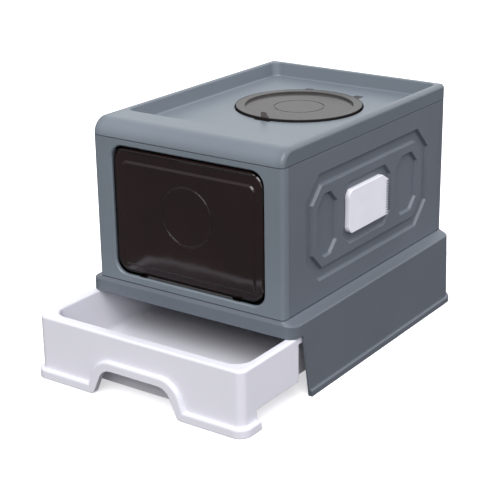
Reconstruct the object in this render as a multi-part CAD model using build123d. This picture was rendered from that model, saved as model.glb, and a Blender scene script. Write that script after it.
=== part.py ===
from build123d import *
import os
from math import sqrt

# Whole box, millimetres, floor at height zero, front towards -Y
enclosure_width = 350.0
enclosure_depth = 493.0
enclosure_corner = 7.0
ledge_height = 128.0
panel_height = 231.4
cover_height = 26.6
wall = 3.0
drawer_open = 126.0

# Fits shared by the pieces
pin_press = 0.02
pin_running = 0.05
seat_gap = 0.3
touch = 0.01
overrun = 6.0

# Base sleeve: the ledge round the walls, the foot flange, the bar over the drawer and its jambs
ledge_side = 19.0
ledge_end = 2.5
ledge_drop = 6.0
ledge_round = 2.5
base_corner = 20.0
base_lean = 3.0
foot_out = 4.0
foot_height = 11.0
foot_round = 3.5
bar_height = 25.0
jamb_setback = 25.0
jamb_rake = 14.0
hatch_margin = 14.0
hatch_corner = 12.0
runner_width = 10.5
runner_thick = 3.0
gusset_thick = 3.0
gusset_height = 26.0
gusset_count = 4

# Hinges at the foot of each wall
hinge_rise = 4.5
hinge_radius = 4.0
hinge_inset = 5.0
hinge_pin_radius = 1.5
knuckle_width = 12.0
ear_width = 4.0
ear_gap = 0.5
side_hinge_inset = 96.5
end_hinge_inset = 23.0

# Walls: wrap of the end walls round the corners, lap strips behind the seams
front_wrap = 14.0
back_wrap = 16.0
seam_gap = 0.3
lap_thick = 2.5
lap_reach = 8.0
lap_width = 20.0
lap_foot = 20.0
lap_head = 14.0
seam_bevel = 0.6
foot_step = 1.2
foot_slot = 1.2

# Octagon groove and pockets pressed into the walls
groove_end_margin = 58.5
groove_foot_margin = 32.5
groove_head_margin = 30.9
groove_chamfer = 37.0
groove_width = 20.0
relief_depth = 5.0
relief_slope = 2.5
back_groove_margin = 57.0
pocket_margin = 13.75
pocket_chamfer = 19.0
pocket_end_shares = ((-0.415, -0.266), (-0.222, 0.170), (0.214, 0.403))

# Flap door, its opening and its two pins
opening_stile = 34.25
opening_sill = 13.0
opening_head = 10.4
opening_corner = 22.0
opening_bevel = 2.0
frame_depth = 11.0
door_gap = 1.5
door_inset = 4.0
door_wall = 3.0
door_top_corner = 26.0
door_border = 15.5
door_head = 21.5
door_dome = 2.5
door_slope = 2.5
door_round = 1.2
door_ring_radius = 46.0
door_ring_width = 1.8
door_ring_rise = 0.6
door_ring_lift = 11.0
door_axis_drop = 6.0
door_roll_radius = 3.5
door_pin_radius = 2.0
door_pin_reach = 18.0
door_pin_grip = 7.0
door_boss_radius = 5.0
bumper_length = 12.0
bumper_width = 6.0
bumper_height = 1.0
bumper_inset = 51.75

# Top cover: brow, rims, sunk floor, locating lip
brow_depth = 65.0
brow_slope = 20.0
rim_width = 12.0
rim_slope = 3.0
rim_round = 2.5
tray_rise = 2.1
tray_corner = 14.0
tray_round = 3.0
lip_depth = 6.0
lip_thick = 2.5

# Round lid, its seat, hinge ears and finger tab
lid_back_inset = 182.5
lid_radius = 105.0
lid_seat_depth = 3.0
lid_seat_width = 8.0
lid_side_gap = 1.6
lid_height = 6.2
lid_skin = 2.5
lid_rim_width = 16.0
lid_round = 1.2
lid_ring_radius = 41.0
lid_ring_width = 2.0
lid_ring_depth = 0.8
lid_ear_reach = 4.0
lid_axis_sink = 2.4
lid_ear_spread = 98.0
lid_ear_width = 12.0
lid_ear_gap = 1.5
lid_knuckle_radius = 2.9
lid_pin_radius = 1.2
well_wall = 2.5
tab_width = 10.0
tab_thick = 3.0
tab_height = 9.0
tab_round = 2.5
notch_width = 31.0
notch_depth = 4.0

# Drawer tray
drawer_gap = 1.0
drawer_lift = 1.0
drawer_wall = 2.5
drawer_side_gap = 3.5
drawer_corner = 13.0
drawer_round = 4.0
bead_out = 7.0
bead_height = 15.0
bead_width = 15.0
bead_round = 4.5
arch_height = 46.0
arch_foot_half = 80.0
arch_head_half = 60.0
arch_corner = 24.0
arch_flare = 9.0
front_rim_width = 17.5
cheek_length = 124.0
cheek_foot = 31.0
cheek_corner = 6.0
rim_height = 11.0
bowl_margin = 13.5
bowl_corner = 26.0
bowl_draft = 8.0
bowl_front_draft = 16.0
bowl_floor_round = 9.0
bowl_mouth_round = 3.0
tray_floor_height = 26.0
skirt_height = 5.0
drawer_back_gap = 6.0

# Hand comb on the right wall and the pegs that hold it
comb_end_margin = 12.7
comb_side_margin = 15.2
comb_thick = 8.5
comb_lift = 1.8
comb_corner = 11.0
comb_waist = 2.0
comb_round = 1.0
tooth_count = 14
tooth_depth = 9.0
tooth_share = 0.6
tooth_thick = 1.6
tooth_root = 2.5
comb_cut_length = 20.0
comb_cut_height = 12.0
peg_radius = 3.0
peg_length = 4.0
peg_gap = 0.3
peg_spread = 60.0

# Places worked out from the sizes above
half_width = enclosure_width / 2
half_depth = enclosure_depth / 2
seam_height = ledge_height + panel_height
total_height = seam_height + cover_height
base_half_width = half_width + ledge_side
base_half_depth = half_depth + ledge_end
ledge_edge = ledge_height - ledge_drop
bar_bottom = ledge_height - bar_height
jamb_top = jamb_setback - base_half_depth
jamb_foot = jamb_top + jamb_rake
front_seam = front_wrap - half_depth
back_seam = half_depth - back_wrap
hinge_line = half_width - wall - hinge_inset
end_hinge_line = half_depth - wall - hinge_inset
side_hinge_spread = enclosure_depth - 2 * side_hinge_inset
end_hinge_spread = enclosure_width - 2 * end_hinge_inset
pin_half = knuckle_width / 2 + ear_gap + ear_width
octagon_share = 2 - sqrt(2)
groove_length = enclosure_depth - 2 * groove_end_margin
back_groove_length = enclosure_width - 2 * back_groove_margin
groove_height = panel_height - groove_foot_margin - groove_head_margin
relief_centre = ledge_height + groove_foot_margin + groove_height / 2
pocket_height = groove_height - 2 * (groove_width + pocket_margin)
opening_width = enclosure_width - 2 * opening_stile
opening_bottom = ledge_height + opening_sill
opening_top = seam_height - opening_head
opening_height = opening_top - opening_bottom
door_axis_y = door_inset + door_wall / 2 - half_depth
door_axis_z = opening_top - door_axis_drop
door_roll_sink = opening_corner - door_axis_drop + door_roll_radius
door_corner_reach = opening_corner - sqrt(opening_corner ** 2 - door_roll_sink ** 2)
door_roll_end = opening_width / 2 - door_gap - door_corner_reach
cover_foot = seam_height + seat_gap
brow_radius = cover_height - 2 * seat_gap - seam_bevel
tray_floor = seam_height + tray_rise
lid_y = half_depth - lid_back_inset
lid_seat = tray_floor - lid_seat_depth
lid_bottom = lid_seat + seat_gap
lid_top = lid_bottom + lid_height
lid_bore = lid_radius + lid_side_gap
lid_axis_y = lid_y + lid_radius + lid_ear_reach
lid_axis_z = tray_floor - lid_axis_sink
drawer_top = bar_bottom - drawer_gap
drawer_face = -base_half_depth
drawer_half = base_half_width - drawer_side_gap
bowl_half = drawer_half - bowl_margin
drawer_back = base_half_depth - wall - drawer_back_gap
bowl_front = drawer_face + front_rim_width
rim_foot = drawer_top - rim_height
shoulder = jamb_top - drawer_gap + cheek_length
runner_top = rim_foot - seat_gap
pocket_ends = [[share * groove_length for share in pair] for pair in pocket_end_shares]
comb_y = sum(pocket_ends[1]) / 2
comb_length = pocket_ends[1][1] - pocket_ends[1][0] - 2 * comb_end_margin
comb_height = pocket_height - 2 * comb_side_margin
comb_z = relief_centre + comb_lift
comb_back = half_width - relief_depth + seat_gap
front_reach = -drawer_face + bead_out + drawer_open
back_reach = base_half_depth + base_lean + foot_out
frame_shift = (front_reach - back_reach) / 2


def plan(width, depth, corner, height):
    # Rounded rectangle lying at a height
    return Pos(0, 0, height) * RectangleRounded(width, depth, corner)


def along_x(radius, length, x, y, z):
    # Round bar along X, centred on a point
    return Pos(x, y, z) * Rot(0, 90, 0) * Cylinder(radius, length)


def side_profile(points, reach):
    # Prism along X from an outline in Y and Z
    return extrude(Plane.YZ * make_face(Polyline(*points, close=True)), reach, both=True)


def block(low, high):
    # Box between two corners
    size = [b - a for a, b in zip(low, high)]
    middle = [(a + b) / 2 for a, b in zip(low, high)]
    return Pos(*middle) * Box(*size)


# Hinges at the foot of the walls

def hinge_places(side):
    # Hinge spots of one wall: local Y points out of the box, local X along the hinge
    turn = {"back": 0, "left": 90, "front": 180, "right": -90}[side]
    if side in ("front", "back"):
        line, spread = end_hinge_line, end_hinge_spread
    else:
        line, spread = hinge_line, side_hinge_spread
    return [Rot(0, 0, turn) * Pos(sign * spread / 2, line, ledge_height) for sign in (-1, 1)]


def hinge_ears():
    # Two standing ears of the base with a bore for the pin
    outline = Pos(0, hinge_rise / 2) * Rectangle(2 * hinge_radius, hinge_rise)
    outline += Pos(0, hinge_rise) * Circle(hinge_radius)
    outline -= Pos(0, hinge_rise) * Circle(hinge_pin_radius + pin_press)
    ear = extrude(Plane.YZ * outline, ear_width / 2, both=True)
    step = knuckle_width / 2 + ear_gap + ear_width / 2
    return Pos(-step, 0, 0) * ear + Pos(step, 0, 0) * ear


def hinge_knuckle():
    # Knuckle of a wall that turns between the ears
    outline = Pos(hinge_inset / 2, hinge_rise) * Rectangle(hinge_inset, 2 * hinge_radius)
    outline += Pos(0, hinge_rise) * Circle(hinge_radius)
    outline -= Pos(0, hinge_rise) * Circle(hinge_pin_radius + pin_running)
    return extrude(Plane.YZ * outline, knuckle_width / 2, both=True)


def hinge_pins(side):
    pin = along_x(hinge_pin_radius, 2 * pin_half, 0, 0, hinge_rise)
    return [place * pin for place in hinge_places(side)]


# Base sleeve

def base_form(inset):
    # Leaning walls under a ledge that falls away outwards, drawn in by an inset
    width = 2 * (base_half_width - inset)
    depth = 2 * (base_half_depth - inset)
    corner = base_corner - inset
    foot = plan(width + 2 * base_lean, depth + 2 * base_lean, corner + base_lean, 0)
    edge = plan(width, depth, corner, ledge_edge - inset)
    trim = 2 * inset
    crown = plan(enclosure_width - trim, enclosure_depth - trim, enclosure_corner, ledge_height - inset)
    return loft([foot, edge]) + loft([edge, crown])


def base_frame():
    outer = base_form(0)
    rim = [e for e in outer.edges() if abs(e.center().Z - ledge_edge) < touch]
    outer = fillet(rim, ledge_round)
    out = base_lean + foot_out
    width = 2 * (base_half_width + out)
    foot = extrude(plan(width, 2 * (base_half_depth + out), base_corner + out, 0), foot_height)
    foot = fillet(foot.faces().sort_by(Axis.Z)[-1].edges(), foot_round)
    body = outer + foot
    hollow = base_form(wall)
    floor_face = hollow.faces().sort_by(Axis.Z)[0]
    hollow += extrude(floor_face, overrun)
    body -= hollow
    trim = 2 * hatch_margin
    hatch = plan(enclosure_width - trim, enclosure_depth - trim, hatch_corner, bar_bottom)
    body -= extrude(hatch, ledge_height - bar_bottom + overrun)
    front = -base_half_depth - out - overrun
    mouth = [(front, -overrun), (front, bar_bottom), (jamb_top, bar_bottom)]
    mouth += [(jamb_foot, 0), (jamb_foot, -overrun)]
    body -= side_profile(mouth, base_half_width + out + overrun)
    for side in ("front", "back", "left", "right"):
        for place in hinge_places(side):
            body += place * hinge_ears()
    return body + base_runners()


def base_runners():
    # Ledges inside both side walls that carry the tray's rim, stiffened by gussets
    start = jamb_top + cheek_length
    stop = drawer_back - drawer_wall
    inner = base_half_width - wall - runner_width
    share = (ledge_edge - runner_top) / ledge_edge
    wall_line = base_half_width - wall + base_lean * share + wall / 2
    ledge = block((inner, start, runner_top - runner_thick), (wall_line, stop, runner_top))
    foot_line = wall_line + base_lean * gusset_height / ledge_edge
    web = [(inner, runner_top - runner_thick), (wall_line, runner_top - runner_thick)]
    web += [(foot_line, runner_top - runner_thick - gusset_height)]
    gusset = extrude(Plane.XZ * make_face(Polyline(*web, close=True)), gusset_thick / 2, both=True)
    pitch = (stop - start) / gusset_count
    for step in range(gusset_count):
        ledge += Pos(0, start + pitch * (step + 1 / 2), 0) * gusset
    return ledge + mirror(ledge, about=Plane.YZ)


# Walls

def wall_tube():
    # The four walls as one tube with a bevelled head and a stepped foot, before it is parted at the corners
    trim, step = 2 * wall, 2 * foot_step
    sole = plan(enclosure_width, enclosure_depth, enclosure_corner, ledge_height)
    tube = extrude(sole, panel_height)
    tube = chamfer(tube.faces().sort_by(Axis.Z)[-1].edges(), seam_bevel)
    sole -= plan(enclosure_width - step, enclosure_depth - step, enclosure_corner - foot_step, ledge_height)
    bore = plan(enclosure_width - trim, enclosure_depth - trim, enclosure_corner - wall, ledge_height)
    return tube - extrude(sole, foot_slot) - extrude(bore, panel_height)


def octagon(length, height, chamfer):
    # Rectangle with its four corners cut off
    a, b = length / 2, height / 2
    right = [(a, chamfer - b), (a, b - chamfer), (a - chamfer, b), (chamfer - a, b)]
    left = [(-a, b - chamfer), (-a, chamfer - b), (chamfer - a, -b), (a - chamfer, -b)]
    return make_face(Polyline(*right, *left, close=True))


def octagon_step(face, length, height, chamfer, grow):
    # Sloped octagon block from the wall's face inwards, wider or narrower at its foot
    top = face * octagon(length, height, chamfer)
    cut = chamfer + grow * octagon_share
    foot = face.offset(-relief_depth) * octagon(length + 2 * grow, height + 2 * grow, cut)
    return loft([top, foot], ruled=True)


def groove(face, length):
    # Octagon channel with sloped sides
    outer = octagon_step(face, length, groove_height, groove_chamfer, -relief_slope)
    trim = 2 * groove_width
    corner = groove_chamfer - groove_width * octagon_share
    return outer - octagon_step(face, length - trim, groove_height - trim, corner, relief_slope)


def groove_back(face, length):
    # Ring behind the channel that keeps the wall's thickness
    corner = groove_chamfer - groove_width * octagon_share
    ring = octagon(length, groove_height, groove_chamfer)
    ring -= octagon(length - 2 * groove_width, groove_height - 2 * groove_width, corner)
    return extrude(face.offset(-wall) * ring, -relief_depth)


def right_face(y):
    # Face of the right wall, local X and Y along world Y and Z
    return Plane(origin=(half_width, y, relief_centre), x_dir=(0, 1, 0), z_dir=(1, 0, 0))


def side_panel():
    # Right-hand wall with the groove, three pockets, lap strips and hinge knuckles
    face = right_face(0)
    low, high = front_seam + seam_gap, back_seam - seam_gap
    inner = half_width - wall
    body = wall_tube() & block((0, low, 0), (base_half_width, high, total_height))
    body += groove_back(face, groove_length)
    body -= groove(face, groove_length)
    for start, end in pocket_ends:
        spot = right_face((start + end) / 2)
        length = end - start
        backing = octagon(length, pocket_height, pocket_chamfer)
        body += extrude(spot.offset(-wall) * backing, -relief_depth)
        body -= octagon_step(spot, length, pocket_height, pocket_chamfer, -relief_slope)
    foot, head = ledge_height + lap_foot, seam_height - lap_head
    lap_face = inner - seat_gap
    for seam, sign in ((low, -1), (high, 1)):
        inside, outside = seam - sign * lap_width, seam + sign * (lap_reach + seam_gap)
        strip = sorted((inside, outside))
        root = sorted((inside, seam))
        body += block((lap_face - lap_thick, strip[0], foot), (lap_face, strip[1], head))
        body += block((lap_face, root[0], foot), (inner, root[1], head))
    for place in hinge_places("right"):
        body += place * hinge_knuckle()
    return body


def left_panel():
    return mirror(side_panel(), about=Plane.YZ)


def comb_pegs(radius, length):
    pegs = [Pos(comb_back - seat_gap, comb_y + sign * peg_spread / 2, comb_z) for sign in (-1, 1)]
    peg = Rot(0, 90, 0) * Cylinder(radius, length, align=(Align.CENTER, Align.CENTER, Align.MIN))
    return [place * peg for place in pegs]


def right_panel():
    body = side_panel()
    for peg in comb_pegs(peg_radius, peg_length):
        body += peg
    return body


def back_panel():
    face = Plane(origin=(0, half_depth, relief_centre), x_dir=(-1, 0, 0), z_dir=(0, 1, 0))
    keep = block((-base_half_width, back_seam, 0), (base_half_width, base_half_depth, total_height))
    body = wall_tube() & keep
    body += groove_back(face, back_groove_length)
    body -= groove(face, back_groove_length)
    for place in hinge_places("back"):
        body += place * hinge_knuckle()
    return body


def front_face(depth):
    # Plane of the front wall at a depth behind its face, local X and Y along world X and Z
    centre = (0, depth - half_depth, (opening_bottom + opening_top) / 2)
    return Plane(origin=centre, x_dir=(1, 0, 0), z_dir=(0, -1, 0))


def opening_outline(grow):
    return RectangleRounded(opening_width + 2 * grow, opening_height + 2 * grow, opening_corner + grow)


def front_panel():
    keep = block((-base_half_width, -base_half_depth, 0), (base_half_width, front_seam, total_height))
    body = wall_tube() & keep
    body += extrude(front_face(frame_depth) * opening_outline(wall), frame_depth)
    boss_end = opening_width / 2 + wall
    boss_start = boss_end - opening_corner
    for sign in (-1, 1):
        middle = sign * (boss_start + boss_end) / 2
        body += along_x(door_boss_radius, boss_end - boss_start, middle, door_axis_y, door_axis_z)
    body -= extrude(front_face(frame_depth + overrun) * opening_outline(0), frame_depth + 2 * overrun)
    lead = front_face(opening_bevel) * opening_outline(0)
    body -= loft([front_face(0) * opening_outline(opening_bevel), lead])
    for pin in door_hinge_pins():
        spot = pin.center()
        body -= along_x(door_pin_radius + pin_press, door_pin_length(), spot.X, spot.Y, spot.Z)
    for place in hinge_places("front"):
        body += place * hinge_knuckle()
    return body


# Flap door

def door_pin_length():
    return door_pin_reach + opening_width / 2 - door_roll_end - door_pin_grip / 2


def door_hinge_pins():
    length = door_pin_length()
    middle = door_roll_end - door_pin_reach + length / 2
    return [along_x(door_pin_radius, length, sign * middle, door_axis_y, door_axis_z) for sign in (-1, 1)]


def door_outline(side, head):
    # Flap outline drawn in by a border, with wider rounding at its top corners
    width = opening_width - 2 * (door_gap + side)
    height = opening_height - 2 * door_gap - side - head
    sheet = Pos(0, (side - head) / 2) * Rectangle(width, height)
    rows = sheet.vertices().group_by(Axis.Y)
    sheet = fillet(rows[-1], door_top_corner - side)
    return fillet(sheet.vertices().group_by(Axis.Y)[0], opening_corner - side)


def door_ring():
    ring = Circle(door_ring_radius + door_ring_width / 2) - Circle(door_ring_radius - door_ring_width / 2)
    return Pos(0, door_ring_lift) * ring


def front_door():
    # Thin flap with a raised field and ring, hung by a roll along its top edge
    front = front_face(door_inset)
    plate = extrude(front * door_outline(0, 0), -door_wall)
    foot = door_outline(door_border, door_head)
    crown = door_outline(door_border + door_slope, door_head + door_slope)
    dome = loft([front * foot, front.offset(door_dome) * crown])
    dome = fillet(dome.faces().sort_by(Axis.Y)[0].edges(), door_round)
    body = plate + dome + extrude(front.offset(door_dome) * door_ring(), door_ring_rise)
    body += along_x(door_roll_radius, 2 * door_roll_end, 0, door_axis_y, door_axis_z)
    body -= Pos(0, door_wall, 0) * dome
    for pin in door_hinge_pins():
        spot = pin.center()
        body -= along_x(door_pin_radius + pin_running, door_pin_length() + seat_gap, spot.X, spot.Y, spot.Z)
    return body


def door_bumpers():
    pads = []
    for sign in (-1, 1):
        pad = Pos(sign * (opening_width / 2 - bumper_inset), door_axis_y, opening_bottom) * Box(
            bumper_length, bumper_width, bumper_height, align=(Align.CENTER, Align.CENTER, Align.MIN))
        pads.append(pad)
    return pads


# Top cover

def cover_form(inset):
    # Low hood with a rolled front brow, drawn in by an inset
    front, back = inset - half_depth, half_depth - inset
    top = total_height - inset
    radius = brow_radius - inset
    with BuildSketch(Plane.YZ) as outline:
        with BuildLine():
            Line((front, cover_foot), (front, top - radius))
            JernArc((front, top - radius), (0, 1), radius, -90)
            Polyline((front + radius, top), (back, top), (back, cover_foot), (front, cover_foot))
        make_face()
    body = extrude(outline.sketch, half_width - inset, both=True)
    edges = [e for e in body.edges() if e.center().Z > cover_foot + seat_gap]
    cross = [e for e in edges if abs(e.center().X) < seat_gap and e.center().Y < back - seat_gap]
    rounded = [e for e in edges if e not in cross]
    return fillet(rounded, enclosure_corner - inset)


def cover_tray(grow):
    # Sunk tray in the top: narrow rims at sides and back, a broad slope behind the brow
    front, back = brow_depth - half_depth, half_depth - rim_width
    foot_front, foot_back = front + brow_slope, back - rim_slope
    width = enclosure_width - 2 * (rim_width - grow)
    mouth = RectangleRounded(width, back - front + 2 * grow, tray_corner + grow)
    floor = RectangleRounded(width - 2 * rim_slope, foot_back - foot_front + 2 * grow, tray_corner + grow)
    low = Pos(0, (foot_front + foot_back) / 2, tray_floor - grow)
    return loft([low * floor, Pos(0, (front + back) / 2, total_height) * mouth])


def lid_wells():
    # Boxes under the floor that take the lid's two hinge ears, and the room cut out of them
    half = lid_ear_width / 2 + lid_ear_gap
    start = lid_y + sqrt(lid_bore ** 2 - (lid_ear_spread / 2 + half) ** 2)
    stop = lid_axis_y + lid_knuckle_radius + 2 * lid_ear_gap
    deep = lid_axis_y - lid_knuckle_radius - 2 * lid_ear_gap
    bottom = lid_axis_z - lid_knuckle_radius - lid_ear_gap
    out = half + well_wall
    lead = start - lid_seat_width / 2
    head = tray_floor + overrun
    boxes, rooms = [], []
    for x in (-lid_ear_spread / 2, lid_ear_spread / 2):
        boxes.append(block((x - out, start, bottom - well_wall), (x + out, stop + well_wall, tray_floor)))
        rooms.append(block((x - half, lead, lid_seat), (x + half, stop, head)))
        rooms.append(block((x - half, deep, bottom), (x + half, stop, head)))
    return boxes, rooms


def lid_disc(radius, low, high):
    height = high - low
    return Pos(0, lid_y, low) * Cylinder(radius, height, align=(Align.CENTER, Align.CENTER, Align.MIN))


def cover_lip():
    # Locating lip inside the walls, rooted in the cover's own wall
    low = cover_foot - lip_depth
    width, depth = enclosure_width - 2 * wall, enclosure_depth - 2 * wall
    corner = enclosure_corner - wall
    lip = plan(width - 2 * seat_gap, depth - 2 * seat_gap, corner - seat_gap, low)
    root = plan(width + wall, depth + wall, corner + wall / 2, cover_foot)
    body = extrude(lip, lip_depth + wall) + extrude(root, wall)
    trim = 2 * (seat_gap + lip_thick)
    bore = plan(width - trim, depth - trim, corner - seat_gap, low - overrun)
    return body - extrude(bore, lip_depth + wall + 2 * overrun)


def cover_shell():
    # Hood with its sunk tray, hollow below the rims and the brow
    hollow = cover_form(wall)
    hollow += extrude(hollow.faces().sort_by(Axis.Z)[0], overrun)
    skin = cover_tray(wall)
    slab = block((-half_width, -half_depth, tray_floor - wall), (half_width, half_depth, cover_foot + wall))
    tray = cover_tray(0)
    tray = fillet(tray.faces().sort_by(Axis.Z)[0].edges(), tray_round)
    body = cover_form(0)
    body = chamfer(body.faces().sort_by(Axis.Z)[0].edges(), seam_bevel) - (hollow - skin)
    body += skin & slab
    body -= tray
    reach = half_width - rim_width + touch
    front, back = brow_depth - half_depth - touch, half_depth - rim_width + touch
    crest = [e for e in body.edges() if abs(e.center().Z - total_height) < touch]
    mouth = [e for e in crest if front < e.center().Y < back and abs(e.center().X) < reach]
    return fillet(mouth, rim_round)


def top_cover():
    body = cover_shell() + cover_lip()
    body += lid_disc(lid_bore + notch_depth + wall, lid_seat - wall, tray_floor)
    boxes, rooms = lid_wells()
    for box in boxes:
        body += box
    for room in rooms:
        body -= room
    body -= lid_disc(lid_bore, lid_seat, tray_floor + overrun)
    body -= lid_disc(lid_bore - lid_seat_width, lid_seat - wall - overrun, tray_floor + overrun)
    half, front = notch_width / 2, lid_y - lid_bore - notch_depth
    body -= block((-half, front, lid_seat), (half, lid_y - lid_radius, tray_floor + overrun))
    for pin in lid_hinge_pins():
        spot = pin.center()
        body -= along_x(lid_pin_radius + pin_press, lid_pin_length(), spot.X, spot.Y, spot.Z)
    return body


# Round lid

def lid_pin_length():
    return lid_ear_width + 2 * (lid_ear_gap + well_wall)


def lid_hinge_pins():
    half = lid_ear_spread / 2
    return [along_x(lid_pin_radius, lid_pin_length(), x, lid_axis_y, lid_axis_z) for x in (-half, half)]


def top_lid():
    # Flat dish with a ring groove inside a hollow rim, with two hinge ears at the back
    inner, outer = lid_radius - lid_rim_width, lid_radius - lid_skin
    floor_top = lid_bottom + lid_skin
    channel = lid_top - lid_skin
    section = [(0, lid_bottom), (inner + lid_skin, lid_bottom), (inner + lid_skin, channel)]
    section += [(outer, channel), (outer, lid_bottom), (lid_radius, lid_bottom)]
    section += [(lid_radius, lid_top), (inner, lid_top), (inner, floor_top), (0, floor_top)]
    dish = revolve(Plane.XZ * make_face(Polyline(*section, close=True)), Axis.Z)
    crests = [e for e in dish.edges() if abs(e.center().Z - lid_top) < touch]
    body = Pos(0, lid_y, 0) * fillet(crests, lid_round)
    ring_low, ring_inner = floor_top - lid_ring_depth, lid_ring_radius - lid_ring_width / 2
    ring = lid_disc(ring_inner + lid_ring_width, ring_low, lid_top)
    body -= ring - lid_disc(ring_inner, ring_low, lid_top)
    root = lid_y + sqrt(outer ** 2 - (lid_ear_spread / 2) ** 2)
    half = lid_ear_width / 2
    for x in (-lid_ear_spread / 2, lid_ear_spread / 2):
        body += block((x - half, root, lid_bottom), (x + half, lid_axis_y, floor_top))
        body += along_x(lid_knuckle_radius, lid_ear_width, x, lid_axis_y, lid_axis_z)
        body -= along_x(lid_pin_radius + pin_running, lid_ear_width + overrun, x, lid_axis_y, lid_axis_z)
    return body


def lid_tab():
    # Finger tab: a foot on the lid's rim and an upright with a rounded head
    front = lid_y - lid_radius + lid_round
    half = tab_width / 2
    foot = block((-half, front, lid_top), (half, front + lid_rim_width / 2, lid_top + tab_thick / 2))
    blade = block((-half, front, lid_top), (half, front + tab_thick, lid_top + tab_height))
    head = [e for e in blade.edges().filter_by(Axis.Y) if e.center().Z > lid_top + tab_height / 2]
    return fillet(head, tab_round) + foot


# Drawer tray, drawn closed

def drawer_block(grow, low, high):
    # Plan of the tray with tight front corners and wider rear ones, raised between two heights
    front, back = drawer_face - grow, drawer_back + grow
    sheet = Pos(0, (front + back) / 2) * Rectangle(2 * (drawer_half + grow), back - front)
    sheet = fillet(sheet.vertices().group_by(Axis.Y)[0], drawer_corner + grow)
    sheet = fillet(sheet.vertices().group_by(Axis.Y)[-1], bowl_corner + grow)
    return extrude(Pos(0, 0, low) * sheet, high - low)


def ahead_of_jambs(gap):
    # Room in front of the raked jambs of the base
    front = drawer_face - bead_out - overrun
    head = drawer_top + overrun
    points = [(front, -overrun), (front, head), (jamb_top - gap, head), (jamb_top - gap, bar_bottom)]
    points += [(jamb_foot - gap, 0), (jamb_foot - gap, -overrun)]
    return side_profile(points, drawer_half + bead_out + overrun)


def arch_band():
    # Outline of the raised border that follows the grip arch
    rise, foot, head = arch_height + bead_width, arch_foot_half + bead_width, arch_head_half + bead_width
    outline = make_face(Polyline((-foot, 0), (-head, rise), (head, rise), (foot, 0), close=True))
    return fillet(outline.vertices().group_by(Axis.Y)[-1], arch_corner + bead_width)


def arch_cut():
    # Grip arch with rounded shoulders and flared feet, with all that lies below the drawer's foot
    reach = drawer_half + bead_out + overrun
    right = [(arch_head_half, arch_height), (arch_foot_half, drawer_lift)]
    right += [(reach, drawer_lift), (reach, -overrun)]
    left = [(-x, z) for x, z in reversed(right)]
    outline = make_face(Polyline(*left, *right, close=True))
    rows = outline.vertices().group_by(Axis.Y)
    outline = fillet(rows[-1], arch_corner)
    feet = [v for v in outline.vertices() if abs(v.Y - drawer_lift) < touch and abs(v.X) < reach - touch]
    return fillet(feet, arch_flare)


def front_plane(y):
    return Plane(origin=(0, y, 0), x_dir=(1, 0, 0), z_dir=(0, -1, 0))


def below_rim():
    # Room for the base behind the front block: under the cheeks, then under the rim alone
    foot = jamb_foot - drawer_gap
    neck = foot + (jamb_top - jamb_foot) * cheek_foot / bar_bottom
    end = drawer_back + overrun
    points = [(foot, -overrun), (foot, 0), (neck, cheek_foot), (shoulder, cheek_foot)]
    points += [(shoulder, rim_foot), (end, rim_foot), (end, -overrun)]
    return side_profile(points, drawer_half + overrun)


def drawer_skin():
    # Front block, cheeks and rim in one skin, open below, with a web behind the block and the cheeks
    outer = drawer_block(0, drawer_lift, drawer_top)
    outer = fillet(outer.faces().sort_by(Axis.Z)[-1].edges(), drawer_round)
    outer -= below_rim()
    ends = [e for e in outer.edges().filter_by(Axis.Z) if abs(e.center().Y - shoulder) < touch]
    outer = fillet(ends, cheek_corner)
    hollow = drawer_block(-drawer_wall, -overrun, drawer_top - drawer_wall)
    hollow -= ahead_of_jambs(drawer_gap) - ahead_of_jambs(drawer_gap + drawer_wall)
    hollow -= block((-drawer_half, shoulder - drawer_wall, 0), (drawer_half, shoulder, drawer_top))
    return outer - hollow


def drawer_front():
    # Foot bead that runs up round the grip arch, on the skin of the tray
    bead = drawer_block(bead_out, drawer_lift, drawer_lift + bead_height)
    bead -= drawer_block(-drawer_wall, -overrun, drawer_top)
    bead = fillet(bead.faces().sort_by(Axis.Z)[-1].outer_wire().edges(), bead_round)
    brow = extrude(front_plane(drawer_face + drawer_wall) * arch_band(), bead_out + drawer_wall)
    crest = brow.faces().sort_by(Axis.Y)[0].edges()
    brow = fillet(crest.filter_by_position(Axis.Z, touch, drawer_top), bead_round)
    body = drawer_skin() + (bead & ahead_of_jambs(drawer_gap)) + brow
    trim = 2 * drawer_wall
    body -= extrude(front_plane(drawer_face + trim) * arch_cut(), trim + bead_out + overrun)
    half = drawer_half - trim
    low = (-half, drawer_face + drawer_wall, -overrun)
    return body - block(low, (half, jamb_foot + overrun, skirt_height))


def bowl(grow, low, high):
    # Tray hollow with drafted sides, steeper behind than in front, grown by a wall
    front, back = bowl_front - grow, drawer_back - bowl_margin + grow
    foot_front, foot_back = front + bowl_front_draft, back - bowl_draft
    width = 2 * (bowl_half + grow)
    foot = RectangleRounded(width - 2 * bowl_draft, foot_back - foot_front, bowl_corner + grow)
    mouth = RectangleRounded(width, back - front, bowl_corner + grow)
    low_place = Pos(0, (foot_front + foot_back) / 2, low)
    return loft([low_place * foot, Pos(0, (front + back) / 2, high) * mouth])


def bowl_room():
    # Room cut out of the tray, with a rounded floor and a mouth that rolls over the rim
    room = bowl(0, tray_floor_height + drawer_wall, drawer_top)
    mouth = room.faces().sort_by(Axis.Z)[-1]
    spread = mouth.bounding_box().size
    middle = mouth.center()
    slab = RectangleRounded(spread.X + 2 * overrun, spread.Y + 2 * overrun, bowl_corner + overrun)
    room += extrude(Pos(0, middle.Y, drawer_top) * slab, overrun)
    neck = [e for e in room.edges() if abs(e.center().Z - drawer_top) < touch]
    inner = [e for e in neck if e.length < spread.Y + touch and inside_box(e.center(), mouth)]
    room = fillet(inner, bowl_mouth_round)
    return fillet(room.faces().sort_by(Axis.Z)[0].edges(), bowl_floor_round)


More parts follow.
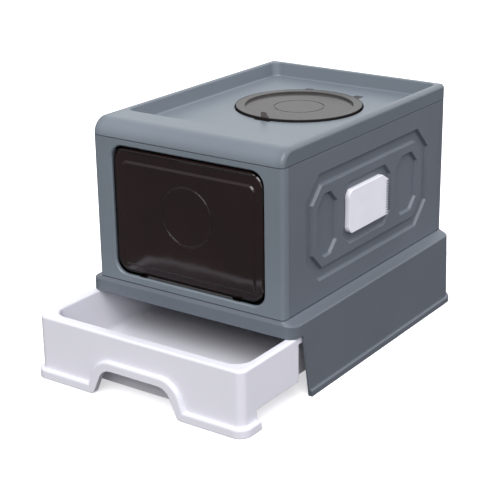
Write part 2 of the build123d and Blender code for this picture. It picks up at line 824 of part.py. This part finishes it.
def inside_box(point, face):
    # Whether a point lies within the plan of a level face
    low, high = face.bounding_box().min, face.bounding_box().max
    in_x = low.X - touch < point.X < high.X + touch
    return in_x and low.Y - touch < point.Y < high.Y + touch


def drawer():
    body = drawer_front() + bowl(drawer_wall, tray_floor_height, drawer_top)
    return Pos(0, -drawer_open, 0) * (body - bowl_room())


# Hand comb

def comb_outline():
    # Plate with a waisted grip edge, a row of teeth on the other short edge and one corner cut off
    a, b = comb_length / 2, comb_height / 2
    pitch = (comb_height - comb_cut_height) / (tooth_count - 1 + tooth_share / 2)
    foot = pitch * tooth_share
    rim = [(-a, -b)]
    for tooth in range(tooth_count):
        low = tooth * pitch - b
        rim += [(a - tooth_depth, low), (a, low + foot / 2), (a - tooth_depth, low + foot)]
    rim = rim[:-1] + [(a - comb_cut_length, b), (-a, b)]
    with BuildSketch() as plate:
        with BuildLine():
            Polyline(*rim)
            ThreePointArc((-a, b), (comb_waist - a, 0), (-a, -b))
        make_face()
    corners = plate.sketch.vertices().group_by(Axis.X)[0]
    return fillet(corners, comb_corner)


def hand_comb():
    # Thick plate thinned behind its teeth, with sockets for the pegs
    back = Plane(origin=(comb_back, comb_y, comb_z), x_dir=(0, 1, 0), z_dir=(1, 0, 0))
    body = extrude(back * comb_outline(), comb_thick)
    face = body.faces().sort_by(Axis.X)[-1]
    grip = [e for e in face.edges() if e.center().Y < comb_y + comb_length / 2 - comb_cut_length]
    body = fillet(grip, comb_round)
    end, half = comb_y + comb_length / 2, comb_height / 2
    low = (comb_back - overrun, end - tooth_depth - tooth_root, comb_z - half - overrun)
    body -= block(low, (comb_back + comb_thick - tooth_thick, end + overrun, comb_z + half + overrun))
    for socket in comb_pegs(peg_radius + peg_gap, peg_length + peg_gap):
        body -= socket
    return body


pieces = {
    "base_frame": base_frame,
    "front_panel": front_panel,
    "back_panel": back_panel,
    "left_panel": left_panel,
    "right_panel": right_panel,
    "front_hinge_pins": lambda: hinge_pins("front"),
    "back_hinge_pins": lambda: hinge_pins("back"),
    "left_hinge_pins": lambda: hinge_pins("left"),
    "right_hinge_pins": lambda: hinge_pins("right"),
    "front_door": front_door,
    "door_hinge_pins": door_hinge_pins,
    "door_bumpers": door_bumpers,
    "top_cover": top_cover,
    "top_lid": top_lid,
    "lid_hinge_pins": lid_hinge_pins,
    "lid_tab": lid_tab,
    "drawer": drawer,
    "hand_comb": hand_comb,
}

if __name__ == "__main__":
    os.makedirs("parts", exist_ok=True)
    for name, make in pieces.items():
        made = make()
        items = made if isinstance(made, list) else [made]
        solids = [Pos(0, frame_shift, 0) * solid for item in items for solid in item.solids()]
        whole = Compound(solids)
        export_step(whole, "parts/" + name + ".step")
        print(name, len(solids), round(whole.volume), whole.is_valid)
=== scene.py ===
import math
import bpy
from mathutils import Matrix, Vector


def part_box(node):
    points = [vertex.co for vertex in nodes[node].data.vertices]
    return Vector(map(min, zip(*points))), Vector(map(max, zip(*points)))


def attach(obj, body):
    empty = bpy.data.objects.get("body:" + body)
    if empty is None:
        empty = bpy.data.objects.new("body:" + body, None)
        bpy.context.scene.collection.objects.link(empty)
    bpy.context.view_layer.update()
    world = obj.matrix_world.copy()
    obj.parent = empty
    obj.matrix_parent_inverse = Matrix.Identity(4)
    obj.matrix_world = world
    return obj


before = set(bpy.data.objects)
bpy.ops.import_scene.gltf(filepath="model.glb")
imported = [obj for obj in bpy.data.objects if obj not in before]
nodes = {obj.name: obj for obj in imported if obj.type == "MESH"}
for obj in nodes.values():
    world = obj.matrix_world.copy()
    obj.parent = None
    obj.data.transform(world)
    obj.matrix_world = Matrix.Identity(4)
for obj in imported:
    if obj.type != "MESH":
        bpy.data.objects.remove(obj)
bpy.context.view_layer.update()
print("frame loaded:", len(nodes), "nodes")


def deselectAll():
    bpy.ops.object.select_all(action="DESELECT")


def startFinish(name):
    finish = bpy.data.materials.new(name)
    finish.use_nodes = True
    return finish, finish.node_tree, finish.node_tree.nodes["Principled BSDF"]


# a node's input takes a number, a colour or another node's output
def fillInput(tree, slot, value):
    if isinstance(value, bpy.types.NodeSocket):
        tree.links.new(value, slot)
    else:
        slot.default_value = value


# entries fill the inputs in order, values go by name to inputs or settings
def addNode(tree, kind, *entries, **values):
    node = tree.nodes.new(kind)
    for key, value in values.items():
        if key in node.inputs:
            fillInput(tree, node.inputs[key], value)
        else:
            setattr(node, key, value)
    for slot, value in zip(node.inputs, entries):
        fillInput(tree, slot, value)
    return node


def addRange(tree, value, start=0.0, end=1.0, low=0.0, high=1.0, curve="LINEAR"):
    node = addNode(tree, "ShaderNodeMapRange", value, start, end, low, high, interpolation_type=curve)
    return node.outputs["Result"]


def addMath(tree, operation, *entries):
    return addNode(tree, "ShaderNodeMath", *entries, operation=operation).outputs["Value"]


def addVector(tree, operation, *entries):
    return addNode(tree, "ShaderNodeVectorMath", *entries, operation=operation).outputs["Vector"]


def addRamp(tree, value, low, high, lowAt=0.3, highAt=0.7):
    node = addNode(tree, "ShaderNodeValToRGB", value)
    ends = node.color_ramp.elements
    ends[0].position, ends[1].position = lowAt, highAt
    ends[0].color, ends[1].color = (*low, 1.0), (*high, 1.0)
    return node.outputs["Color"]


# studio: pale floor, one broad soft sun, even sky with two brighter sides
studio = {
    "floorSize": 24.0,
    "floorColour": (0.84, 0.84, 0.85),
    "floorGlow": 0.6,  # light table: lifts the shadows towards white
    "floorRoughness": 0.9,
    "floorSheen": 0.1,
    "cloudScale": 0.6,  # faint patches in the paper
    "cloudDetail": 2.0,
    "cloudShade": 0.985,
    "sky": (0.52, 0.52, 0.53),
    "underSky": (0.17, 0.165, 0.17),  # light thrown back from below
    "skyFade": (-0.06, 0.16),  # heights between which the sky comes in
    "backGlow": 1.0,  # brightness added behind the box, seen in the tops
    "backColour": (0.96, 0.99, 1.0),
    "sideGlow": 0.8,  # brightness added on the right
    "sideColour": (0.90, 0.88, 1.0),
    "sunPower": 2.85,
    "sunSpread": 48.0,
    "sunHeight": 50.0,  # degrees above the floor
    "sunSide": 22.0,  # degrees from straight in front, to the right
    "sunPlace": (0, 0, 3),  # where the lamp is drawn, no matter to its light
}


def buildFloor(setup):
    deselectAll()
    bpy.ops.mesh.primitive_plane_add(size=setup["floorSize"], location=(0, 0, 0))
    floor = bpy.context.object
    floor.name = "studioFloor"
    floor.visible_glossy = False
    floor.visible_diffuse = False
    finish, tree, shader = startFinish("floorPaper")
    spot = addNode(tree, "ShaderNodeTexCoord").outputs["Object"]
    cloud = addNode(tree, "ShaderNodeTexNoise", Vector=spot, Scale=setup["cloudScale"],
                    Detail=setup["cloudDetail"])
    shaded = [channel * setup["cloudShade"] for channel in setup["floorColour"]]
    tree.links.new(addRamp(tree, cloud.outputs["Fac"], shaded, setup["floorColour"]),
                   shader.inputs["Base Color"])
    shader.inputs["Roughness"].default_value = setup["floorRoughness"]
    shader.inputs["Specular IOR Level"].default_value = setup["floorSheen"]
    shader.inputs["Emission Color"].default_value = (*setup["floorColour"], 1.0)
    shader.inputs["Emission Strength"].default_value = setup["floorGlow"]
    floor.data.materials.append(finish)


def buildSky(setup):
    world = bpy.data.worlds.new("studioSky")
    bpy.context.scene.world = world
    world.use_nodes = True
    sky = world.node_tree
    aim = addNode(sky, "ShaderNodeTexCoord").outputs["Generated"]
    split = addNode(sky, "ShaderNodeSeparateXYZ", aim)
    rise = addRange(sky, split.outputs["Z"], *setup["skyFade"])
    light = sky.nodes["Background"]
    sky.links.new(addRamp(sky, rise, setup["underSky"], setup["sky"], lowAt=0.0, highAt=1.0),
                  light.inputs["Color"])
    for side, colour, glow in (("Y", "backColour", "backGlow"), ("X", "sideColour", "sideGlow")):
        lean = addRange(sky, split.outputs[side], high=setup[glow])
        mask = addMath(sky, "MULTIPLY", lean, rise)
        extra = addNode(sky, "ShaderNodeBackground", Color=(*setup[colour], 1.0), Strength=mask)
        light = addNode(sky, "ShaderNodeAddShader", light.outputs[0], extra.outputs[0])
    sky.links.new(light.outputs[0], sky.nodes["World Output"].inputs["Surface"])


def buildSun(setup):
    deselectAll()
    bpy.ops.object.light_add(type="SUN", location=setup["sunPlace"])
    sun = bpy.context.object
    sun.name = "softSun"
    sun.data.energy = setup["sunPower"]
    sun.data.angle = math.radians(setup["sunSpread"])
    sun.rotation_euler = (math.radians(90 - setup["sunHeight"]), 0, math.radians(setup["sunSide"]))


buildFloor(studio)
buildSky(studio)
buildSun(studio)
bpy.context.scene.view_settings.view_transform = "Standard"
print("studio ready")


# camera matched to the straight edges of the photographed box
cameraSetup = {
    "place": (1.16977, -1.67346, 0.89973),
    "azimuth": 33.319,
    "elevation": 19.596,
    "roll": -0.172,
    "lens": 96.448,
    "sensor": 36.0,
    "shift": (-0.0849, -0.02874),
}


def placeCamera(setup):
    azimuth, elevation, roll = (math.radians(setup[key]) for key in ("azimuth", "elevation", "roll"))
    back = Vector((math.sin(azimuth) * math.cos(elevation), -math.cos(azimuth) * math.cos(elevation),
                   math.sin(elevation)))
    side = Vector((math.cos(azimuth), math.sin(azimuth), 0))
    up = back.cross(side)
    right = side * math.cos(roll) + up * math.sin(roll)
    top = up * math.cos(roll) - side * math.sin(roll)
    turn = Matrix((right, top, back)).transposed().to_4x4()
    deselectAll()
    bpy.ops.object.camera_add()
    camera = bpy.context.object
    camera.name = "photoCamera"
    camera.matrix_world = Matrix.Translation(setup["place"]) @ turn
    camera.data.lens = setup["lens"]
    camera.data.sensor_width = setup["sensor"]
    camera.data.shift_x, camera.data.shift_y = setup["shift"]
    bpy.context.scene.camera = camera
    print("camera placed")


placeCamera(cameraSetup)


# moulded finishes: colour drift, fine spark-eroded grain, softened corners
mouldDetail = {
    "patchDetail": 3.0,  # finer patches within the drift
    "patchRoughness": 0.55,
    "grainDetail": 2.0,
    "cornerSamples": 4,  # rays that soften a corner
}
shellFinish = {
    "tints": ((0.141, 0.167, 0.193), (0.156, 0.185, 0.212)),
    "drift": 6.0,  # colour patches per metre
    "grain": 900.0,  # grain bumps per metre
    "grainDepth": 0.00006,
    "roughness": (0.38, 0.48),
    "corner": 0.0005,
    "seams": (  # middle, half height, share of the colour kept in the painted shade
        (0.1286, 0.0010, 0.25),
        (0.3592, 0.0005, 0.5),
    ),
}
coverFinish = {
    "tints": ((0.141, 0.166, 0.192), (0.157, 0.185, 0.212)),
    "drift": 5.0,
    "grain": 900.0,
    "grainDepth": 0.00006,
    "roughness": (0.36, 0.46),
    "corner": 0.0005,
    # painted shade along the joint over the walls
    "seams": ((0.3600, 0.0004, 0.5),),
    "lightShadeFades": (  # axis, start, end and share of the colour at the end: painted shade deepens both sides, painted light makes the brow paler
        ("X", 0.158, 0.1745, 0.76),
        ("X", -0.158, -0.1745, 0.76),
        ("Y", -0.170, -0.182, 1.14),
    ),
}
# darker copy of the shell plastic: painted shade on the side and back walls
wallShadeFinish = {
    "tints": ((0.108, 0.124, 0.147), (0.121, 0.138, 0.164)),
    "drift": 6.0,
    "grain": 900.0,
    "grainDepth": 0.00006,
    "roughness": (0.40, 0.50),
    "corner": 0.0016,
    # painted shade in the joints at the wall's foot and head
    "seams": ((0.1286, 0.0010, 0.25), (0.3592, 0.0005, 0.5)),
}
baseFinish = {
    "tints": ((0.108, 0.125, 0.148), (0.121, 0.139, 0.165)),
    "drift": 5.0,
    "grain": 900.0,
    "grainDepth": 0.00006,
    "roughness": (0.40, 0.50),
    "corner": 0.0005,
    # painted shade on the base's left and right faces
    "lightShadeFades": (("X", 0.174, 0.185, 0.85), ("X", -0.174, -0.185, 0.85)),
}
trayFinish = {
    "tints": ((0.695, 0.692, 0.750), (0.725, 0.722, 0.778)),
    "drift": 5.0,
    "grain": 700.0,
    "grainDepth": 0.00003,
    "roughness": (0.32, 0.40),
    "corner": 0.0015,
}
combFinish = {
    "tints": ((0.80, 0.80, 0.86), (0.84, 0.84, 0.89)),
    "drift": 30.0,
    "grain": 900.0,
    "grainDepth": 0.00003,
    "roughness": (0.34, 0.42),
    "corner": 0.0006,
}
pinFinish = {
    "tints": ((0.11, 0.125, 0.14), (0.13, 0.145, 0.165)),
    "drift": 60.0,
    "grain": 1500.0,
    "grainDepth": 0.00002,
    "roughness": (0.35, 0.45),
    "corner": 0.0003,
}
padFinish = {
    "tints": ((0.012, 0.011, 0.011), (0.02, 0.018, 0.018)),
    "drift": 80.0,
    "grain": 2200.0,
    "grainDepth": 0.00003,
    "roughness": (0.55, 0.7),
    "corner": 0.0003,
}
doorFinish = {
    "tints": ((0.0105, 0.0050, 0.0046), (0.0160, 0.0076, 0.0068)),
    "drift": 9.0,
    "grain": 14.0,  # slow waviness of a thin moulded sheet
    "grainDepth": 0.0012,
    "roughness": (0.08, 0.14),
    "corner": 0.002,
    "sheen": 0.62,
    "bow": (0.245, 0.102, 0.0043),  # middle height, half height and depth of the sheet's slight crown
    "rim": {
        "plane": (1, 0, 1),  # axes that the outline lies in
        "centre": (0, 0, 0.2462),
        "core": (0.11325, 0, 0.0753),  # half sizes inside the rounded corners, ending just above the lip
        "corner": 0.026,
        "width": 0.0018,  # shadowed edge
        "full": 0.7,  # share of that width in full shade
        "past": 0.01,  # how far outside the outline the shade goes on
        "roll": 0.0055,  # where the face begins to turn over
        "rollDepth": 0.0028,
        "shade": (0.0015, 0.0012, 0.0012),
    },
}
lidFinish = {
    "tints": ((0.056, 0.0525, 0.051), (0.069, 0.065, 0.063)),
    "drift": 14.0,
    "grain": 40.0,
    "grainDepth": 0.0002,
    "roughness": (0.16, 0.26),
    "corner": 0.0004,
    "sheen": 0.062,
    "rim": {
        "plane": (1, 1, 0),
        "centre": (0, 0.127, 0),
        "core": (0, 0, 0),
        "corner": 0.105,
        "width": 0.0016,
        "full": 0.7,
        "past": 0.0004,
        "roll": 0.004,
        "rollDepth": 0.0003,
        "shade": (0.016, 0.014, 0.014),
    },
}
tabFinish = {
    "tints": ((0.088, 0.077, 0.071), (0.112, 0.099, 0.092)),
    "drift": 60.0,
    "grain": 1500.0,
    "grainDepth": 0.00003,
    "roughness": (0.35, 0.5),
    "corner": 0.0004,
    "sheen": 0.3,
}


# painted shade and light: colour that deepens or pales along an axis
def addLightShadeFades(tree, spot, colour, lightShadeFades):
    split = addNode(tree, "ShaderNodeSeparateXYZ", spot)
    for axis, start, end, share in lightShadeFades:
        fade = addRange(tree, split.outputs[axis], start, end, 1.0, share)
        shaded = addNode(tree, "ShaderNodeMixRGB", 1.0, colour, fade, blend_type="MULTIPLY")
        colour = shaded.outputs["Color"]
    return colour


# painted shade in the joints at set heights
def addSeamShade(tree, spot, colour, look):
    split = addNode(tree, "ShaderNodeSeparateXYZ", spot)
    for middle, half, share in look["seams"]:
        dark = [channel * share for channel in look["tints"][0]]
        near = addMath(tree, "COMPARE", split.outputs["Z"], middle, half)
        colour = addNode(tree, "ShaderNodeMixRGB", near, colour, (*dark, 1.0)).outputs["Color"]
    return colour


# depth is what a height of 1 stands for, in metres
def addBump(tree, height, normal, depth=1.0):
    node = addNode(tree, "ShaderNodeBump", Strength=1.0, Distance=depth, Height=height, Normal=normal)
    return node.outputs["Normal"]


# slight crown of a sheet from foot to head
def addBow(tree, spot, normal, middle, half, depth):
    split = addNode(tree, "ShaderNodeSeparateXYZ", spot)
    offset = addMath(tree, "SUBTRACT", split.outputs["Z"], middle)
    square = addMath(tree, "MULTIPLY", offset, offset)
    height = addMath(tree, "MULTIPLY", square, -depth / half ** 2)
    return addBump(tree, height, normal)


# shadowed, rolled edge along a rounded outline
def addRim(tree, spot, colour, normal, shader, look):
    rim = look["rim"]
    corner = rim["corner"]
    flat = addVector(tree, "MULTIPLY_ADD", spot, rim["plane"], [-place for place in rim["centre"]])
    fold = addVector(tree, "ABSOLUTE", flat)
    outer = addVector(tree, "MAXIMUM", addVector(tree, "SUBTRACT", fold, rim["core"]))
    length = addNode(tree, "ShaderNodeVectorMath", outer, operation="LENGTH")
    reach = length.outputs["Value"]  # distance from the core
    start = addRange(tree, reach, corner - rim["width"], corner - rim["width"] * rim["full"])
    inside = addMath(tree, "LESS_THAN", reach, corner + rim["past"])
    edge = addMath(tree, "MULTIPLY", start, inside)
    dull = addRange(tree, edge, low=look["sheen"], high=0.0)
    tree.links.new(dull, shader.inputs["Specular IOR Level"])
    dark = addNode(tree, "ShaderNodeMixRGB", edge, colour, (*rim["shade"], 1.0))
    turn = addRange(tree, reach, corner - rim["roll"], corner, 0.0, -rim["rollDepth"], "SMOOTHSTEP")
    return dark.outputs["Color"], addBump(tree, turn, normal)


def mouldedFinish(name, look):
    finish, tree, shader = startFinish(name)
    spot = addNode(tree, "ShaderNodeTexCoord").outputs["Object"]
    patch = addNode(tree, "ShaderNodeTexNoise", Vector=spot, Scale=look["drift"],
                    Detail=mouldDetail["patchDetail"], Roughness=mouldDetail["patchRoughness"])
    grain = addNode(tree, "ShaderNodeTexNoise", Vector=spot, Scale=look["grain"],
                    Detail=mouldDetail["grainDetail"])
    corner = addNode(tree, "ShaderNodeBevel", Radius=look["corner"], samples=mouldDetail["cornerSamples"])
    lowGloss, highGloss = look["roughness"]
    gloss = addRange(tree, patch.outputs["Fac"], low=lowGloss, high=highGloss)
    colour = addRamp(tree, patch.outputs["Fac"], *look["tints"])
    normal = addBump(tree, grain.outputs["Fac"], corner.outputs["Normal"], look["grainDepth"])
    if "sheen" in look:
        shader.inputs["Specular IOR Level"].default_value = look["sheen"]
    if "lightShadeFades" in look:
        colour = addLightShadeFades(tree, spot, colour, look["lightShadeFades"])
    if "seams" in look:
        colour = addSeamShade(tree, spot, colour, look)
    if "bow" in look:
        normal = addBow(tree, spot, normal, *look["bow"])
    if "rim" in look:
        colour, normal = addRim(tree, spot, colour, normal, shader, look)
    tree.links.new(colour, shader.inputs["Base Color"])
    tree.links.new(gloss, shader.inputs["Roughness"])
    tree.links.new(normal, shader.inputs["Normal"])
    return finish


wornBy = (
    ("shellPlastic", shellFinish, ["front_panel"]),
    ("coverPlastic", coverFinish, ["top_cover"]),
    ("wallPlasticShaded", wallShadeFinish, ["back_panel", "left_panel", "right_panel"]),
    ("basePlastic", baseFinish, ["base_frame"]),
    ("trayPlastic", trayFinish, ["drawer"]),
    ("combPlastic", combFinish, ["hand_comb"]),
    ("pinPlastic", pinFinish, ["front_hinge_pins", "back_hinge_pins", "left_hinge_pins", "right_hinge_pins",
                               "lid_hinge_pins"]),
    ("padRubber", padFinish, ["door_bumpers"]),
    ("doorSmoke", doorFinish, ["front_door", "door_hinge_pins"]),
    ("lidSmoke", lidFinish, ["top_lid"]),
    ("tabSmoke", tabFinish, ["lid_tab"]),
)
for finishName, look, nodeNames in wornBy:
    finish = mouldedFinish(finishName, look)
    for nodeName in nodeNames:
        mesh = nodes[nodeName].data
        mesh.materials.clear()
        mesh.materials.append(finish)
print("finishes on", sum(len(nodeNames) for *_, nodeNames in wornBy), "nodes")


# soft lip along the flap's foot, between the two pads: a dark strip of painted shade where the sill lies in
# shadow under the flap
doorShadeLip = {
    "body": "door",
    "half": 0.0805,  # half its length, short of the pads
    "rise": 0.0026,
    "lift": 0.0002,  # above the flap's lower edge
    "sheetHalf": 0.0015,  # half the flap's thickness
    "proud": 0.0006,  # stands before the flap's face
    "sunk": 0.0003,  # let into the flap's face
    "round": 0.0003,
    "roundSteps": 2,
    "inset": 0.0004,  # edge left around the groove
    "groove": 0.0002,
    "facing": -0.99,  # a face whose normal has less Y than this is the front
}
# dark tints: painted shade of the sill under the flap
lipShadeFinish = {
    "tints": ((0.046, 0.043, 0.044), (0.054, 0.050, 0.051)),
    "drift": 40.0,
    "grain": 1500.0,
    "grainDepth": 0.00002,
    "roughness": (0.5, 0.6),
    "corner": 0.0002,
}


def buildDoorShadeLip(shape, look):
    padLow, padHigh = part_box("door_bumpers")
    face = (padLow[1] + padHigh[1]) / 2 - shape["sheetHalf"]
    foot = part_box("front_door")[0][2] + shape["lift"]
    depth = shape["proud"] + shape["sunk"]
    deselectAll()
    bpy.ops.mesh.primitive_cube_add(size=1.0, location=(0, 0, 0))
    lip = bpy.context.object
    lip.name = "doorShadeLip"
    bpy.ops.object.mode_set(mode="EDIT")
    bpy.ops.mesh.select_all(action="SELECT")
    bpy.ops.transform.resize(value=(2 * shape["half"], depth, shape["rise"]))
    bpy.ops.transform.translate(value=(0, face - shape["proud"] + depth / 2, foot + shape["rise"] / 2))
    bpy.ops.mesh.bevel(offset=shape["round"], segments=shape["roundSteps"], affect="EDGES")
    bpy.ops.mesh.select_mode(type="FACE")
    bpy.ops.mesh.select_all(action="DESELECT")
    bpy.ops.object.mode_set(mode="OBJECT")
    for side in lip.data.polygons:
        side.select = side.normal.y < shape["facing"]
    bpy.ops.object.mode_set(mode="EDIT")
    bpy.ops.mesh.inset(thickness=shape["inset"], depth=0)
    bpy.ops.mesh.inset(thickness=shape["groove"], depth=-shape["groove"])
    bpy.ops.object.mode_set(mode="OBJECT")
    lip.data.materials.append(mouldedFinish("lipPaintedShade", look))
    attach(lip, shape["body"])
    print("door lip on", shape["body"])


buildDoorShadeLip(doorShadeLip, lipShadeFinish)
